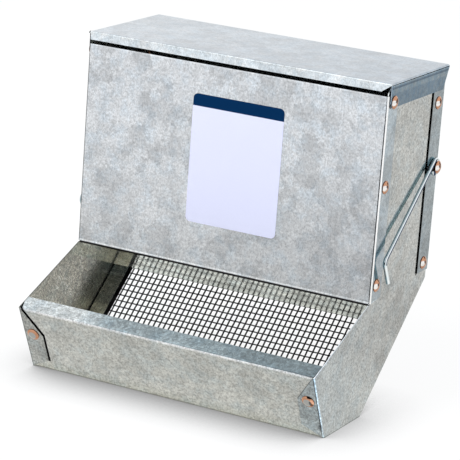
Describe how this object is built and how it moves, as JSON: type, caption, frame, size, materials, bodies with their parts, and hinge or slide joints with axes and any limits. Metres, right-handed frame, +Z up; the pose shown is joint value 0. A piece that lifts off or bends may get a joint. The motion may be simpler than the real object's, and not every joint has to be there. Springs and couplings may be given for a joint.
{
  "type": "small animal feeder",
  "caption": "Sheet-metal hopper feeder with hinged lid, open trough, sloping mesh sifter floor and two swinging wire hooks that hold it to a cage wall.",
  "frame": {"origin": "point on the outer face of the hopper's front panel, centred side to side, at the middle of that flat panel's height, where the panel bears on the cage wire", "axes": "+X to the right seen from the trough's side, +Y from the trough to the hopper's back, +Z up"},
  "size_m": [0.187, 0.1321, 0.1785],
  "materials": {
    "galvanised_sheet": "zinc-coated sheet with a soft spangle",
    "galvanised_mesh": "zinc-coated woven wire",
    "coppered_rivet": "copper-plated, bright",
    "zinc_wire": "bright zinc plate",
    "label_paper": "plain coated paper"
  },
  "bodies": {
    "body": {"front_panel": "galvanised_sheet", "back_panel": "galvanised_sheet", "trough_pan": "galvanised_sheet", "side_panel_left": "galvanised_sheet", "side_panel_right": "galvanised_sheet", "sifter_mesh": "galvanised_mesh", "front_label": "label_paper", "front_lower_rivet_left": "coppered_rivet", "front_lower_rivet_right": "coppered_rivet", "front_upper_rivet_left": "coppered_rivet", "front_upper_rivet_right": "coppered_rivet", "back_lower_rivet_left": "coppered_rivet", "back_lower_rivet_right": "coppered_rivet", "back_upper_rivet_left": "coppered_rivet", "back_upper_rivet_right": "coppered_rivet", "lid_rivet_left": "coppered_rivet", "lid_rivet_right": "coppered_rivet", "tab_rivet_left": "coppered_rivet", "tab_rivet_right": "coppered_rivet", "hook_rivet_left": "coppered_rivet", "hook_rivet_right": "coppered_rivet"},
    "lid": {"lid": "galvanised_sheet"},
    "hook_left": {"hook_left": "zinc_wire"},
    "hook_right": {"hook_right": "zinc_wire"}
  },
  "joints": [
    {"name": "lid_hinge", "type": "hinge", "parent": "body", "child": "lid", "pos_m": [0, 0.0057, 0.0518], "axis": [1, 0, 0], "range_deg": [0, 80]},
    {"name": "hook_left_swing", "type": "hinge", "parent": "body", "child": "hook_left", "pos_m": [-0.09045, 0.066, 0.0072], "axis": [1, 0, 0], "range_deg": [-75, 50]},
    {"name": "hook_right_swing", "type": "hinge", "parent": "body", "child": "hook_right", "pos_m": [0.09045, 0.066, 0.0072], "axis": [1, 0, 0], "range_deg": [-75, 50]}
  ]
}
